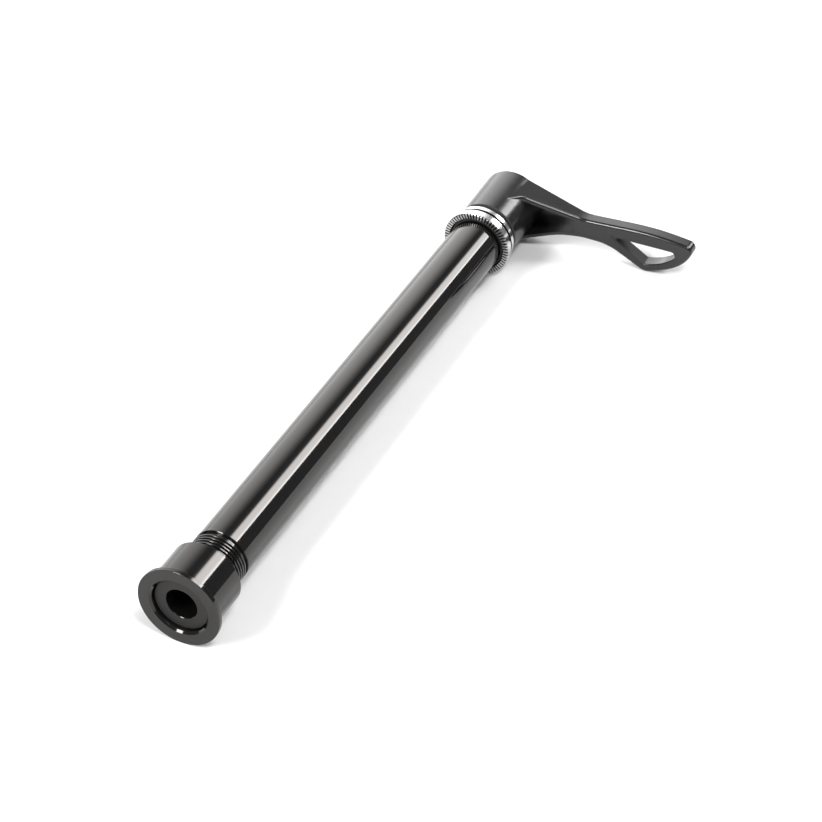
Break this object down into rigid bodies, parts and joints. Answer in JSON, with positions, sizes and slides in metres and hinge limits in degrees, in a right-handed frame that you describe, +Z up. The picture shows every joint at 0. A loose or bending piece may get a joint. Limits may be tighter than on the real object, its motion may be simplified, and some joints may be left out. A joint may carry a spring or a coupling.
{
  "type": "bicycle thru axle",
  "caption": "Hollow bicycle thru axle with a fine thread and a flanged nut at one end, and a toothed clamp ring and a sprung pull-and-turn lever with a windowed paddle at the other.",
  "frame": {"origin": "on the axle's axis, midway between the nut's seat and the tips of the ring's teeth", "axes": "+X along the axle from the nut to the lever, +Z up as the axle lies on a surface, the lever towards -Y"},
  "size_m": [0.1922, 0.067, 0.0222],
  "materials": {
    "gloss_black": "gloss black anodised",
    "satin_black": "satin black paint on a casting",
    "bright_steel": "bright nickel plate",
    "plain_steel": "zinc plate",
    "black_rubber": "matt",
    "black_polymer": "matt"
  },
  "bodies": {
    "nut": {"flange_nut": "gloss_black"},
    "ring": {"serrated_ring": "bright_steel"},
    "axle": {"axle_tube": "gloss_black", "ring_keeper": "black_rubber", "friction_washer": "black_polymer", "drive_hub": "bright_steel", "lever_seal": "black_rubber", "index_spring": "plain_steel", "retaining_screw": "plain_steel"},
    "seat": {"spring_seat": "plain_steel"},
    "lever": {"lever": "satin_black"}
  },
  "joints": [
    {"name": "thread_travel", "type": "slide", "parent": "nut", "child": "ring", "axis": [1, 0, 0], "range_m": [-0.006, 0.012]},
    {"name": "axle_turn", "type": "hinge", "parent": "ring", "child": "axle", "pos_m": [0, 0, 0], "axis": [1, 0, 0], "range_deg": [-2160, 4320]},
    {"name": "lever_pull", "type": "slide", "parent": "axle", "child": "seat", "axis": [1, 0, 0], "range_m": [0, 0.0045], "stiffness_N_per_m": 3000, "springref_m": -0.004, "deforming": ["index_spring"]},
    {"name": "lever_index", "type": "hinge", "parent": "seat", "child": "lever", "pos_m": [0.1, 0, 0], "axis": [1, 0, 0], "continuous": true}
  ],
  "couplings": [
    {"joint": "axle_turn", "follows": "thread_travel", "rad_per_m": 6283.2}
  ]
}
